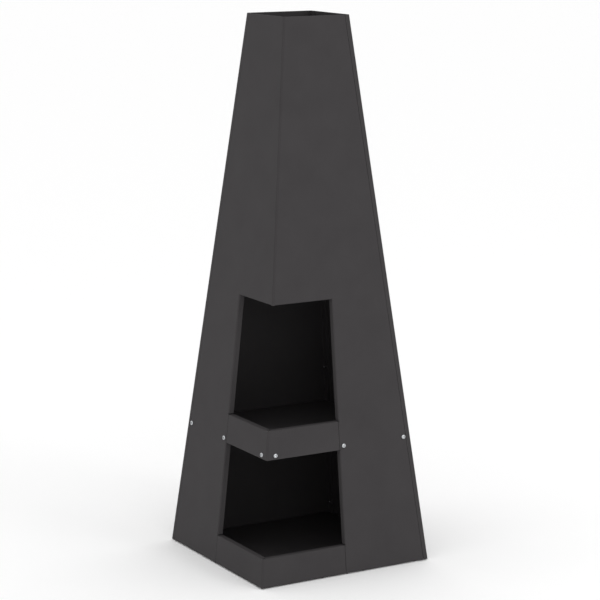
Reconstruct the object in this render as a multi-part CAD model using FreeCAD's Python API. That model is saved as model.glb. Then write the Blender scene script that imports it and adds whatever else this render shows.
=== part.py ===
import FreeCAD, Part
import math
import os

# Garden fireplace (chiminea) of bolted sheet steel: a tall square pyramid cut off at the top, with the
# front corner open in two tiers. The fire burns on a shelf behind the upper opening, logs are kept on
# the base plate behind the lower one, and the tapering body above is the flue, open at its top.
#
# Frame: +Z is up, the plan's centre is at x = y = 0 and z = 0 is the ground. The open corner points to
# (-X, -Y). Levels are measured from the lower edge of the panels, which the base bolts hold FOOT above
# the ground, and every shape is raised by FOOT when it is saved. All sizes are in millimetres.

# ---- body ----
BASE_SIDE = 430.0
TOP_SIDE = 165.0
BODY_HEIGHT = 1218.0
SHEET = 2.0
BEND = 3.0            # outside radius of the upright corner bends
INNER_BEND = 0.5      # least radius inside them
FOOT = 2.2            # height of the base bolts' heads, on which the body stands
SEAM = 1.0            # gap between the side panels and the ends of the band and the plinth
LAP_SEAM = 1.0        # gap between the front shell and the rear panels' lips

# ---- levels ----
PLINTH_TOP = 63.0
BAND_BOTTOM = 275.0
BAND_TOP = 338.0
HOOD_EDGE = 606.0
SHELF_BOLT_LEVEL = 283.5
SHELF_TOP = 292.0
SHELF_RIM_BOTTOM = 277.0

# ---- flanges and laps ----
FLANGE = 13.0         # depth of the edges turned inwards round the openings
FOOT_FLANGE = 22.0    # depth of the bottom edges turned inwards under the base plate
FOOT_END = 24.0       # from a corner to the end of the foot flange beside it
LIP = 12.0            # part of the rear panels that shows on the front faces
TONGUE = 34.0         # reach of the rear panels' tongues, from the side corners
TONGUE_BOTTOM = 8.0
RELIEF = 1.0          # gap above and below the upright flanges, where the band and plinth pass
BACK_FLANGE = 20.0    # left rear panel's flange, bolted inside the right rear panel
CLEARANCE = 0.5       # air beside a level plate's edge
BEND_CLEARANCE = 1.0  # air beside the left rear panel's bend

# ---- fasteners, M6 unless they are named small ----
THREAD = 5.9
NUT_BORE = 6.0
BOLT_HOLE = 6.6
HEAD = 10.5
HEAD_HEIGHT = 2.8
HEAD_RIM = 0.4        # upright edge below the dome
HEAD_CROWN = 5.6
LOW_HEAD_CROWN = 8.4
SOCKET = 4.0
SOCKET_DEPTH = 1.9
DOME_BULGE = 0.35     # the dome's middle point, outwards and upwards, as shares of its height
DOME_MIDDLE = 0.62
SHELF_BOLT_LENGTH = 16.0
BASE_BOLT_LENGTH = 8.0
WASHER = 11.0
WASHER_BORE = 6.4
WASHER_THICKNESS = 1.6
NUT_FLATS = 10.0
NUT_HEIGHT = 5.0
SMALL_THREAD = 4.9
SMALL_BORE = 5.0
SMALL_HOLE = 5.4
SMALL_HEAD = 8.6
SMALL_HEAD_HEIGHT = 2.5
SMALL_HEAD_CROWN = 4.6
SMALL_SOCKET = 3.0
SMALL_BOLT_LENGTH = 10.0
SMALL_NUT_FLATS = 8.0
SMALL_NUT_HEIGHT = 4.0

# ---- places of the bolts ----
BAND_BOLT_FROM_CORNER = 21.3      # from the front corner, at the shelf bolts' level
SIDE_BOLT_FROM_CENTRE = 9.5       # just past the opening's edge
LAP_BOLT_FROM_CORNER = 19.0       # from the left and right corners
REAR_BOLT_SPREAD = 120.0          # either side of a rear face's centre
BACK_SEAM_LEVELS = (32.0, 162.0, 376.0, 590.0, 805.0, 1020.0, 1190.0)
SEAM_BOLT_FROM_CORNER = 10.0      # from the back corner, on the right rear face
BASE_BOLT_INSET = 10.0
PLINTH_BASE_BOLTS = (23.0, 157.0)     # from the front corner, under the plinth
SIDE_BASE_BOLTS = (262.0, 396.5)      # from the front corner, under the side panels
REAR_BASE_BOLTS = (38.0, 110.0)       # from the side corners, under the rear panels

LEAN = (BASE_SIDE - TOP_SIDE) / 2 / BODY_HEIGHT
TILT = math.atan(LEAN)
OVER = 5.0            # how far cutting shapes run past what they cut

# each face by its outward direction and the direction that runs along it away from the front
RIGHT_FRONT = ((0, -1), (1, 0))
LEFT_FRONT = ((-1, 0), (0, 1))
RIGHT_REAR = ((1, 0), (0, 1))
LEFT_REAR = ((0, 1), (1, 0))
FRONT_FACES = (RIGHT_FRONT, LEFT_FRONT)
REAR_FACES = (RIGHT_REAR, LEFT_REAR)


def vector(x, y, z):
    return FreeCAD.Vector(x, y, z)


def half(level):
    """Half the body's outside width at a level."""
    return BASE_SIDE / 2 - LEAN * level


def swapped(shape):
    """The shape's twin across the upright plane x = y."""
    return shape.mirror(vector(0, 0, 0), vector(1, -1, 0))


# ---- solids that follow the leaning walls ----

def tapered_block(outline, low, high):
    """Solid between two levels whose plan at each level is outline(half width)."""
    bottom = [vector(x, y, low) for x, y in outline(half(low))]
    top = [vector(x, y, high) for x, y in outline(half(high))]
    count = len(bottom)
    loops = [bottom[::-1], top]
    for i in range(count):
        j = (i + 1) % count
        loops.append([bottom[i], bottom[j], top[j], top[i]])
    faces = [Part.Face(Part.makePolygon(loop + [loop[0]])) for loop in loops]
    solid = Part.Solid(Part.Shell(faces))
    if solid.Volume < 0:
        solid.reverse()
    return solid


def bent(solid, foot, radius):
    """Round the leaning edge that stands on the point foot."""
    edges = [edge for edge in solid.Edges
             if any((v.Point - foot).Length < 0.01 for v in edge.Vertexes)
             and abs(edge.Vertexes[0].Z - edge.Vertexes[-1].Z) > 1]
    return solid.makeFillet(radius, edges)


def pyramid(inset, low, high):
    """The body's outside, or a smaller pyramid inset inside it, with its corners rounded."""
    def square(w):
        s = w - inset
        return [(-s, -s), (s, -s), (s, s), (-s, s)]
    solid = tapered_block(square, low, high)
    for x, y in square(half(low)):
        solid = bent(solid, vector(x, y, low), max(BEND - inset, INNER_BEND))
    return solid


def wall(layer, low, high):
    """One thickness of sheet on all four sides. Layer 0 is outermost, 1 lies behind it."""
    near = layer * SHEET
    outside = pyramid(near, low, high)
    return outside.cut(pyramid(near + SHEET, low - OVER, high + OVER))


def front_quarter(low, high, gap=0.0):
    """The quarter of the plan behind the open corner."""
    side = BASE_SIDE
    return Part.makeBox(side, side, high - low, vector(-side - gap, -side - gap, low))


def strip(face, start, end, depth, low, high):
    """Block against the inside of a face, from start to end along it and depth deep.

    start and end are functions of the half width, so that an end can follow a leaning corner.
    """
    (ox, oy), (ax, ay) = face

    def outline(w):
        points = []
        for along, out in ((start(w), w), (end(w), w), (end(w), w - depth), (start(w), w - depth)):
            points.append((ax * along + ox * out, ay * along + oy * out))
        return points
    return tapered_block(outline, low, high)


def front_ledge(depth, low, high, gap=0.0):
    """L-shaped level flange inside the open corner, from one opening's edge to the other's."""
    def outline(w):
        d = w - depth
        return [(-w, -w), (-gap, -w), (-gap, -d), (-d, -d), (-d, -gap), (-w, -gap)]
    return tapered_block(outline, low, high).common(pyramid(0, low - OVER, high + OVER))


def joined(shapes):
    solid = shapes[0].fuse(shapes[1:])
    return solid.removeSplitter()


# ---- fasteners, each made along +Z with its seat at z = 0 ----

def hexagon(flats, height, base):
    radius = flats / math.sqrt(3)
    points = []
    for i in range(7):
        turn = math.radians(60 * i)
        points.append(vector(radius * math.cos(turn), radius * math.sin(turn), base))
    return Part.Face(Part.makePolygon(points)).extrude(vector(0, 0, height))


def domed_head(diameter, height, crown):
    """Button head: an arc from the rim up to a small flat crown."""
    dome = height - HEAD_RIM
    rim = vector(diameter / 2, 0, HEAD_RIM)
    top = vector(crown / 2, 0, height)
    middle = vector((diameter + crown) / 4 + DOME_BULGE * dome, 0, HEAD_RIM + DOME_MIDDLE * dome)
    edges = [Part.LineSegment(vector(0, 0, 0), vector(diameter / 2, 0, 0)).toShape(),
             Part.LineSegment(vector(diameter / 2, 0, 0), rim).toShape(),
             Part.Arc(rim, middle, top).toShape(),
             Part.LineSegment(top, vector(0, 0, height)).toShape(),
             Part.LineSegment(vector(0, 0, height), vector(0, 0, 0)).toShape()]
    face = Part.Face(Part.Wire(edges))
    return face.revolve(vector(0, 0, 0), vector(0, 0, 1), 360)


def bolt(length, thread=THREAD, head=HEAD, height=HEAD_HEIGHT, crown=HEAD_CROWN, socket=SOCKET):
    shank = Part.makeCylinder(thread / 2, length + 0.5, vector(0, 0, -length))
    solid = joined([domed_head(head, height, crown), shank])
    depth = min(SOCKET_DEPTH, height * 0.6)
    return solid.cut(hexagon(socket, depth + 1, height - depth))


def washer():
    ring = Part.makeCylinder(WASHER / 2, WASHER_THICKNESS, vector(0, 0, -WASHER_THICKNESS))
    return ring.cut(Part.makeCylinder(WASHER_BORE / 2, 2 * OVER, vector(0, 0, -OVER)))


def nut(flats, height, bore):
    """Hexagon nut with its corners turned off at both ends."""
    body = hexagon(flats, height, -height)
    radius = flats / math.sqrt(3)
    chamfer = radius - flats / 2
    turned = Part.makeCylinder(radius, height, vector(0, 0, -height))
    rims = [edge for edge in turned.Edges if edge.Closed and len(edge.Vertexes) == 1]
    body = body.common(turned.makeChamfer(chamfer * 0.8, rims))
    return body.cut(Part.makeCylinder(bore / 2, 2 * height + OVER, vector(0, 0, -2 * height)))


class Joint:
    """A bolt's place: a seat on the outside, its outward direction, and what it clamps."""

    def __init__(self, seat, outward, side, grip):
        self.outward = outward
        self.grip = grip
        self.seat = seat
        self.turn = FreeCAD.Rotation(side, outward.cross(side), outward, "ZXY")

    def placed(self, shape, depth=0.0):
        copy = shape.copy()
        copy.Placement = FreeCAD.Placement(self.seat - self.outward * depth, self.turn)
        return copy

    def drill(self, diameter):
        reach = 4 * OVER
        return self.placed(Part.makeCylinder(diameter / 2, 2 * reach, vector(0, 0, -reach)))


def wall_joint(face, along, layers, level=SHELF_BOLT_LEVEL):
    """Bolt through a leaning wall, at the shelf's rim unless told otherwise."""
    (ox, oy), (ax, ay) = face
    w = half(level)
    seat = vector(ox * w + ax * along, oy * w + ay * along, level)
    outward = vector(ox * math.cos(TILT), oy * math.cos(TILT), math.sin(TILT))
    return Joint(seat, outward, vector(ax, ay, 0), layers * SHEET * math.cos(TILT))


def base_joint(face, from_corner):
    """Bolt from below through a bottom flange and the base plate."""
    (ox, oy), (ax, ay) = face
    along = from_corner - BASE_SIDE / 2
    out = BASE_SIDE / 2 - BASE_BOLT_INSET
    seat = vector(ox * out + ax * along, oy * out + ay * along, 0)
    return Joint(seat, vector(0, 0, -1), vector(ax, ay, 0), 2 * SHEET)


BAND_JOINTS = [wall_joint(f, BAND_BOLT_FROM_CORNER - half(SHELF_BOLT_LEVEL), 2) for f in FRONT_FACES]
SIDE_JOINTS = [wall_joint(f, SIDE_BOLT_FROM_CENTRE, 2) for f in FRONT_FACES]
LAP_JOINTS = [wall_joint(f, half(SHELF_BOLT_LEVEL) - LAP_BOLT_FROM_CORNER, 3) for f in FRONT_FACES]
REAR_JOINTS = [wall_joint(f, along, 2) for f in REAR_FACES
               for along in (-REAR_BOLT_SPREAD, 0.0, REAR_BOLT_SPREAD)]
SEAM_JOINTS = [wall_joint(RIGHT_REAR, half(level) - SEAM_BOLT_FROM_CORNER, 2, level)
               for level in BACK_SEAM_LEVELS]
PLINTH_BASE_JOINTS = [base_joint(f, u) for f in FRONT_FACES for u in PLINTH_BASE_BOLTS]
SIDE_BASE_JOINTS = [base_joint(f, u) for f in FRONT_FACES for u in SIDE_BASE_BOLTS]
REAR_BASE_JOINTS = [base_joint(f, u) for f in REAR_FACES for u in REAR_BASE_BOLTS]


def drilled(solid, joints, diameter=BOLT_HOLE):
    for joint in joints:
        solid = solid.cut(joint.drill(diameter))
    return solid


# ---- sheet metal ----

def front_shell():
    """Hood and both side panels in one sheet, bent at the front corner and notched below the hood."""
    def region(w):
        end = w - LIP - LAP_SEAM / 2
        inner = -w + LIP
        return [(-w - OVER, -w - OVER), (end, -w - OVER), (end, inner), (inner, inner),
                (inner, end), (-w - OVER, end)]
    sheet = wall(0, 0, BODY_HEIGHT).common(tapered_block(region, -OVER, BODY_HEIGHT + OVER))
    sheet = sheet.cut(front_quarter(-OVER, HOOD_EDGE))
    pieces = [sheet, front_ledge(FLANGE, HOOD_EDGE, HOOD_EDGE + SHEET)]
    spans = ((PLINTH_TOP + RELIEF, BAND_BOTTOM - RELIEF), (BAND_TOP + RELIEF, HOOD_EDGE + SHEET))
    for face in FRONT_FACES:
        for low, high in spans:
            pieces.append(strip(face, lambda w: 0, lambda w: SHEET, FLANGE, low, high))
        pieces.append(strip(face, lambda w: 0, lambda w: w - FOOT_END, FOOT_FLANGE, 0, SHEET))
    shell = joined(pieces)
    return drilled(shell, SIDE_JOINTS + LAP_JOINTS + SIDE_BASE_JOINTS)


def rear_panel_side():
    """What both rear panels share, on the +X side: the corner, lip, tongue and foot flange."""
    def region(w):
        edge = w - LIP + LAP_SEAM / 2
        return [(edge, -w - OVER), (w + OVER, -w - OVER), (w + OVER, 0), (edge, 0)]
    sheet = wall(0, 0, BODY_HEIGHT).common(tapered_block(region, -OVER, BODY_HEIGHT + OVER))

    def tongue_region(w):
        start, end = w - TONGUE, w - LIP + 2 * SHEET
        return [(start, -w), (end, -w), (end, -w + LIP), (start, -w + LIP)]
    top = BODY_HEIGHT - SHEET
    tongue = wall(1, TONGUE_BOTTOM, top).common(tapered_block(tongue_region, 0, BODY_HEIGHT))
    foot = strip(RIGHT_REAR, lambda w: -w + FOOT_END, lambda w: w - FOOT_END, FOOT_FLANGE, 0, SHEET)
    return [sheet, tongue, foot]


def drilled_rear(shapes):
    panel = drilled(joined(shapes), LAP_JOINTS + REAR_JOINTS + REAR_BASE_JOINTS)
    return drilled(panel, SEAM_JOINTS, SMALL_HOLE)


def rear_right_panel():
    """Rear panel on the +X side, with a plain edge at the back corner."""
    back = strip(RIGHT_REAR, lambda w: 0, lambda w: w, SHEET, 0, BODY_HEIGHT)
    return drilled_rear(rear_panel_side() + [back])


def rear_left_panel():
    """Rear panel on the +Y side, turned in at the back corner to lie inside the right one."""
    def angle(w):
        out, tip = w - SHEET, w - BACK_FLANGE
        return [(0, w), (0, w - SHEET), (out - SHEET, w - SHEET), (out - SHEET, tip), (out, tip), (out, w)]
    back = tapered_block(angle, 0, BODY_HEIGHT)
    edge = BASE_SIDE / 2
    back = bent(back, vector(edge - SHEET, edge, 0), BEND)
    back = bent(back, vector(edge - 2 * SHEET, edge - SHEET, 0), BEND - SHEET)
    return drilled_rear([swapped(shape) for shape in rear_panel_side()] + [back])


def front_band():
    """L-shaped band across the open corner between the two openings."""
    low, high = BAND_BOTTOM, BAND_TOP
    face = wall(0, low, high).common(front_quarter(low - OVER, high + OVER, SEAM))
    band = joined([face, front_ledge(FLANGE, high - SHEET, high, SEAM)])
    return drilled(band, BAND_JOINTS)


def plinth():
    """L-shaped sill across the open corner at the ground."""
    face = wall(0, 0, PLINTH_TOP).common(front_quarter(-OVER, PLINTH_TOP + OVER, SEAM))
    ledge = front_ledge(FLANGE, PLINTH_TOP - SHEET, PLINTH_TOP, SEAM)
    foot = front_ledge(FOOT_FLANGE, 0, SHEET, SEAM)
    return drilled(joined([face, ledge, foot]), PLINTH_BASE_JOINTS)


def clear_back_corner(plate, low, high):
    """Notch a level plate round the left rear panel's flange and bend."""
    def corner(w):
        flange, beside = w - BACK_FLANGE - SHEET, w - 2 * SHEET - CLEARANCE
        bend = w - SHEET - BEND - BEND_CLEARANCE
        return [(beside, flange), (w + OVER, flange), (w + OVER, w + OVER),
                (bend, w + OVER), (bend, bend), (beside, bend)]
    return plate.cut(tapered_block(corner, low - OVER, high + OVER))


def fire_shelf():
    """Tray turned upside down: a level floor with a rim bent down, bolted to every wall."""
    low, high = SHELF_RIM_BOTTOM, SHELF_TOP
    floor = pyramid(SHEET, high - SHEET, high)
    rim = wall(1, low, high)
    tray = clear_back_corner(joined([floor, rim]), low, high)

    def side_corner(w):
        reach = TONGUE + SHEET
        return [(w - reach, -w - OVER), (w + OVER, -w - OVER), (w + OVER, -w + reach),
                (w - 2 * SHEET, -w + reach), (w - 2 * SHEET, -w + 2 * SHEET), (w - reach, -w + 2 * SHEET)]
    cutter = tapered_block(side_corner, low - OVER, high + OVER)
    tray = tray.cut(cutter).cut(swapped(cutter))

    def lap_tab(w):
        start, end = w - TONGUE, w - LIP + SHEET
        return [(start, -w), (end, -w), (end, -w + LIP), (start, -w + LIP)]
    tab = wall(2, low, high).common(tapered_block(lap_tab, low - OVER, high + OVER))
    tray = joined([tray, tab, swapped(tab)])
    return drilled(tray, BAND_JOINTS + SIDE_JOINTS + LAP_JOINTS + REAR_JOINTS)


def base_plate():
    """Level plate on the bottom flanges, the floor of the log store."""
    low, high = SHEET, 2 * SHEET
    plate = clear_back_corner(pyramid(SHEET + CLEARANCE, low, high), low, high)
    return drilled(plate, PLINTH_BASE_JOINTS + SIDE_BASE_JOINTS + REAR_BASE_JOINTS)


# ---- nodes ----

def save(node, shapes):
    shape = shapes[0] if len(shapes) == 1 else Part.makeCompound(shapes)
    shape.translate(vector(0, 0, FOOT))
    solids = shape.Solids
    volume = sum(solid.Volume for solid in solids)
    print(f"{node:24s} {len(solids):3d} solids  {volume / 1000:9.2f} cm3  valid {shape.isValid()}")
    shape.exportStep("parts/" + node + ".step")


def save_bolts(place, joints, shape):
    save(place + "_bolts", [joint.placed(shape) for joint in joints])


def save_shelf_fasteners(place, joints):
    """One node each for the bolts, washers and nuts at one place on the shelf's rim."""
    clamped = nut(NUT_FLATS, NUT_HEIGHT, NUT_BORE)
    save_bolts(place, joints, bolt(SHELF_BOLT_LENGTH))
    save(place + "_washers", [joint.placed(washer(), joint.grip) for joint in joints])
    save(place + "_nuts", [joint.placed(clamped, joint.grip + WASHER_THICKNESS) for joint in joints])


def main():
    os.makedirs("parts", exist_ok=True)
    save("front_shell", [front_shell()])
    save("rear_left_panel", [rear_left_panel()])
    save("rear_right_panel", [rear_right_panel()])
    save("front_band", [front_band()])
    save("plinth", [plinth()])
    save("fire_shelf", [fire_shelf()])
    save("base_plate", [base_plate()])

    save_shelf_fasteners("band", BAND_JOINTS)
    save_shelf_fasteners("side_panel", SIDE_JOINTS)
    save_shelf_fasteners("corner_lap", LAP_JOINTS)
    save_shelf_fasteners("rear_shelf", REAR_JOINTS)

    small_bolt = bolt(SMALL_BOLT_LENGTH, SMALL_THREAD, SMALL_HEAD, SMALL_HEAD_HEIGHT,
                      SMALL_HEAD_CROWN, SMALL_SOCKET)
    small_nut = nut(SMALL_NUT_FLATS, SMALL_NUT_HEIGHT, SMALL_BORE)
    save_bolts("back_seam", SEAM_JOINTS, small_bolt)
    save("back_seam_weld_nuts", [joint.placed(small_nut, joint.grip) for joint in SEAM_JOINTS])

    base_bolt = bolt(BASE_BOLT_LENGTH, height=FOOT, crown=LOW_HEAD_CROWN)
    weld_nut = nut(NUT_FLATS, NUT_HEIGHT, NUT_BORE)
    save_bolts("plinth_base", PLINTH_BASE_JOINTS, base_bolt)
    save_bolts("side_base", SIDE_BASE_JOINTS, base_bolt)
    save_bolts("rear_base", REAR_BASE_JOINTS, base_bolt)
    base_joints = PLINTH_BASE_JOINTS + SIDE_BASE_JOINTS + REAR_BASE_JOINTS
    save("base_weld_nuts", [joint.placed(weld_nut, joint.grip) for joint in base_joints])


main()
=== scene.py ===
"""Garden fireplace of folded and bolted sheet steel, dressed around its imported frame.

Every sheet is rebuilt as a fabricator folds it, with an outer skin of flat faces and bend arcs that is
thickened inwards and has its cut edges rounded by the coating. The fasteners stand where the frame has
them. Lengths are in metres.
"""

import logging
import math
from dataclasses import dataclass, field
from enum import Enum
from typing import Callable, Sequence

import bmesh
import bpy
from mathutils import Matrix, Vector


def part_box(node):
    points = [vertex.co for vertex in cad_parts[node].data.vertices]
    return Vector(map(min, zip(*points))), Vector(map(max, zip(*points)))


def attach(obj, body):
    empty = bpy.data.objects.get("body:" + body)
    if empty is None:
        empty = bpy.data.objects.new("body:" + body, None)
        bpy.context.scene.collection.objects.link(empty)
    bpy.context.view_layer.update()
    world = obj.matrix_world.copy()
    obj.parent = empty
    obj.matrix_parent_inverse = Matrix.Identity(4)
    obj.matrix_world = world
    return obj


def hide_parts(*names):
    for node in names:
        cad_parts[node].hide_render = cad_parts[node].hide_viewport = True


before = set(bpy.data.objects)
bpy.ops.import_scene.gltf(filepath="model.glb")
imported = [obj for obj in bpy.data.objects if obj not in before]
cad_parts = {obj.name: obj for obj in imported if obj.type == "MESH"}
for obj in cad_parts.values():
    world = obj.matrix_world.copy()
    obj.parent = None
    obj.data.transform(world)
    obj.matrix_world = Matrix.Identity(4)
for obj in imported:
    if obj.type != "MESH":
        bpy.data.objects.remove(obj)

logger = logging.getLogger("fireplace")

MM = 0.001
Along = Callable[[float], float]
Plan = Callable[[float], tuple[float, float]]


# ---------------------------------------------------------------- frame

@dataclass(frozen=True)
class Taper:
    """The leaning outside of the body.

    Args:
        foot: Level of the panels' lower edge.
        top: Level of the open rim.
        base_half: Half the outside width at the foot.
        top_half: Half the outside width at the rim.
    """

    foot: float
    top: float
    base_half: float
    top_half: float

    @classmethod
    def from_frame(cls) -> "Taper":
        """Read the taper from the front shell's box and its rim."""
        low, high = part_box("front_shell")
        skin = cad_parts["front_shell"].data.vertices
        rim = max(abs(v.co.x) for v in skin if v.co.z > high.z - 0.01 * MM)
        return cls(low.z, high.z, -low.x, rim)

    def half(self, level: float) -> float:
        """Half the outside width at a level."""
        share = (level - self.foot) / (self.top - self.foot)
        return self.base_half + (self.top_half - self.base_half) * share

    @property
    def tilt(self) -> float:
        """Angle of a wall from the upright, in radians."""
        return math.atan((self.base_half - self.top_half) / (self.top - self.foot))


class Face(Enum):
    """The four walls: outward direction, and the direction that runs along the wall."""

    RIGHT_FRONT = ((0, -1), (1, 0))
    LEFT_FRONT = ((-1, 0), (0, 1))
    RIGHT_REAR = ((1, 0), (0, 1))
    LEFT_REAR = ((0, 1), (1, 0))

    def point(self, taper: Taper, along: float, level: float, depth: float) -> Vector:
        """Point on or behind this wall.

        Args:
            taper: The body's outside.
            along: Distance from the wall's centre line.
            level: Height above the ground.
            depth: Level distance inwards from the outside.

        Returns:
            The point in the row frame.
        """
        (ox, oy), (ax, ay) = self.value
        out = taper.half(level) - depth
        return Vector((ax * along + ox * out, ay * along + oy * out, level))

    def outward(self, taper: Taper) -> Vector:
        """Unit normal of this wall, which leans back by the taper's tilt."""
        (ox, oy), _ = self.value
        return Vector((ox * math.cos(taper.tilt), oy * math.cos(taper.tilt), math.sin(taper.tilt)))

    def side(self) -> Vector:
        """Unit direction along this wall."""
        _, (ax, ay) = self.value
        return Vector((ax, ay, 0))


class Outside(Enum):
    """Which way the visible skin of a sheet faces over its largest flat."""

    AWAY = "away from the body's axis"
    UP = "upwards"


# ---------------------------------------------------------------- finishes

def linear(hex_colour: str) -> tuple[float, float, float, float]:
    """Turn an sRGB hex colour into the linear colour that a shader takes.

    Args:
        hex_colour: Six hex digits with a leading hash sign.

    Returns:
        Linear red, green and blue, and an alpha of 1.
    """
    parts = [int(hex_colour[i:i + 2], 16) / 255 for i in (1, 3, 5)]
    r, g, b = (c / 12.92 if c <= 0.04045 else ((c + 0.055) / 1.055) ** 2.4 for c in parts)
    return r, g, b, 1.0


def add_node(tree: bpy.types.NodeTree, kind: str, inputs: dict | None = None, **settings) -> bpy.types.Node:
    """Add one node with its settings, and its values or links.

    Args:
        tree: The tree that gets the node.
        kind: The node's type name.
        inputs: Socket name or number to a value, to the output socket that feeds it, or to a node,
            which feeds it from its first output in use.
        **settings: The node's own properties.

    Returns:
        The new node.
    """
    node = tree.nodes.new(kind)
    for name, value in settings.items():
        setattr(node, name, value)
    for key, value in (inputs or {}).items():
        socket = node.inputs[key]
        if isinstance(value, bpy.types.Node):
            value = next(output for output in value.outputs if output.enabled)
        if isinstance(value, bpy.types.NodeSocket):
            tree.links.new(value, socket)
        else:
            socket.default_value = value
    return node


def start_material(name: str) -> tuple[bpy.types.Material, bpy.types.NodeTree, bpy.types.NodeSocket]:
    """Start a material for patterns that stay with the object.

    Args:
        name: The material's name.

    Returns:
        The material, its empty tree, and the object coordinates to place patterns by.
    """
    material = bpy.data.materials.new(name)
    material.use_nodes = True
    tree = material.node_tree
    tree.nodes.clear()
    return material, tree, add_node(tree, "ShaderNodeTexCoord").outputs["Object"]


def per_metre(size_mm: float) -> float:
    """Texture scale at which one cell of a pattern is size_mm across."""
    return 1 / (size_mm * MM)


@dataclass(frozen=True)
class PowderCoat:
    """Matt black stove coating, baked on: a silicone powder that cures with a fine, even grain.

    It reads as a soft charcoal with a broad, weak sheen. The grain is really about 0.2 mm. It is drawn
    at grain_mm so that it shows as a faint tooth close up.
    """

    name: str = "black_powder_coat"
    colour: str = "#3a3839"
    patch_colour: str = "#3d3b3c"
    # painted shade: a darker tone along the bends' tangent lines, standing in for the shade that falls
    # there
    painted_bend_shade_colour: str = "#353334"
    roughness: float = 0.62
    sheen_level: float = 0.08
    patch_mm: float = 70.0
    flow_mm: float = 3.5
    grain_mm: float = 0.9
    flow_height: float = 0.010 * MM
    grain_height: float = 0.014 * MM

    def material(self) -> bpy.types.Material:
        """Build the coating: drifted colour, painted shade along the bend lines, orange peel and grain."""
        material, tree, place = start_material(self.name)
        patches = add_node(tree, "ShaderNodeTexNoise", {
            "Vector": place, "Scale": per_metre(self.patch_mm), "Detail": 4.0, "Roughness": 0.6})
        patchy = add_node(tree, "ShaderNodeMapRange", {
            "Value": patches, "From Min": 0.3, "From Max": 0.7})
        drift = add_node(tree, "ShaderNodeMix", {
            "Factor": patchy, "A": linear(self.colour), "B": linear(self.patch_colour)},
            data_type="RGBA")
        # painted shade: darken the coating where the skin's bend lines carry the painted bend shade
        # attribute
        crease = add_node(tree, "ShaderNodeAttribute", attribute_name="crease")
        bend_shaded_tone = add_node(tree, "ShaderNodeMix", {
            "Factor": crease.outputs["Fac"], "A": drift,
            "B": linear(self.painted_bend_shade_colour)}, data_type="RGBA")
        flow = add_node(tree, "ShaderNodeTexNoise", {
            "Vector": place, "Scale": per_metre(self.flow_mm), "Detail": 2.0})
        grain = add_node(tree, "ShaderNodeTexNoise", {
            "Vector": place, "Scale": per_metre(self.grain_mm), "Detail": 3.0, "Roughness": 0.7})
        dull = add_node(tree, "ShaderNodeMapRange", {
            "Value": grain, "From Min": 0.3, "From Max": 0.7,
            "To Min": self.roughness - 0.05, "To Max": self.roughness + 0.05})
        peel = add_node(tree, "ShaderNodeBump", {
            "Height": flow, "Distance": self.flow_height, "Strength": 1.0})
        tooth = add_node(tree, "ShaderNodeBump", {
            "Height": grain, "Distance": self.grain_height, "Strength": 1.0,
            "Normal": peel})
        shader = add_node(tree, "ShaderNodeBsdfPrincipled", {
            "Base Color": bend_shaded_tone, "Roughness": dull,
            "Specular IOR Level": self.sheen_level, "Normal": tooth})
        add_node(tree, "ShaderNodeOutputMaterial", {"Surface": shader})
        return material


@dataclass(frozen=True)
class CutEdge:
    """The same coating where it thins over a sheet's cut edge: a shade lighter, partly as a painted edge
    highlight, and smoother.
    """

    name: str = "thin_coat_on_cut_edges"
    # partly painted highlight: the cut edges are a shade lighter than the flat coating, besides the thinner
    # coat
    colour: str = "#3f3d3e"
    scuff_colour: str = "#5a5856"
    roughness: float = 0.5
    scuff_mm: float = 9.0

    def material(self) -> bpy.types.Material:
        """Build the edge coating, with short stretches scuffed lighter."""
        material, tree, place = start_material(self.name)
        rubs = add_node(tree, "ShaderNodeTexNoise", {
            "Vector": place, "Scale": per_metre(self.scuff_mm), "Detail": 5.0, "Roughness": 0.65})
        worn = add_node(tree, "ShaderNodeMapRange", {
            "Value": rubs, "From Min": 0.56, "From Max": 0.68})
        tone = add_node(tree, "ShaderNodeMix", {
            "Factor": worn, "A": linear(self.colour), "B": linear(self.scuff_colour)},
            data_type="RGBA")
        shader = add_node(tree, "ShaderNodeBsdfPrincipled", {
            "Base Color": tone, "Roughness": self.roughness,
            "Specular IOR Level": 0.4})
        add_node(tree, "ShaderNodeOutputMaterial", {"Surface": shader})
        return material


@dataclass(frozen=True)
class ZincPlate:
    """Bright zinc electroplate on steel fasteners: a clean, slightly blue silver, fairly glossy.

    Cold heading and tumbling leave it faintly mottled, with scratches too fine to see singly.
    """

    name: str = "bright_zinc_plate"
    colour: str = "#c0c2c4"
    mottle_colour: str = "#a6a8ab"
    roughness: float = 0.2
    mottle_mm: float = 1.6
    scratch_mm: float = 0.35
    scratch_height: float = 0.004 * MM

    def material(self) -> bpy.types.Material:
        """Build the plating."""
        material, tree, place = start_material(self.name)
        mottle = add_node(tree, "ShaderNodeTexNoise", {
            "Vector": place, "Scale": per_metre(self.mottle_mm), "Detail": 3.0})
        tone = add_node(tree, "ShaderNodeMix", {
            "Factor": mottle, "A": linear(self.colour), "B": linear(self.mottle_colour)},
            data_type="RGBA")
        scratch = add_node(tree, "ShaderNodeTexNoise", {
            "Vector": place, "Scale": per_metre(self.scratch_mm), "Detail": 2.0})
        dull = add_node(tree, "ShaderNodeMapRange", {
            "Value": scratch, "To Min": self.roughness - 0.06,
            "To Max": self.roughness + 0.1})
        fine = add_node(tree, "ShaderNodeBump", {
            "Height": scratch, "Distance": self.scratch_height, "Strength": 0.6})
        shader = add_node(tree, "ShaderNodeBsdfPrincipled", {
            "Base Color": tone, "Metallic": 1.0,
            "Roughness": dull, "Normal": fine})
        add_node(tree, "ShaderNodeOutputMaterial", {"Surface": shader})
        return material


@dataclass(frozen=True)
class Finishes:
    """The object's materials, built once."""

    coat: bpy.types.Material
    cut_edge: bpy.types.Material
    zinc: bpy.types.Material

    @classmethod
    def build(cls) -> "Finishes":
        """Build every finish."""
        return cls(PowderCoat().material(), CutEdge().material(), ZincPlate().material())


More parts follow.
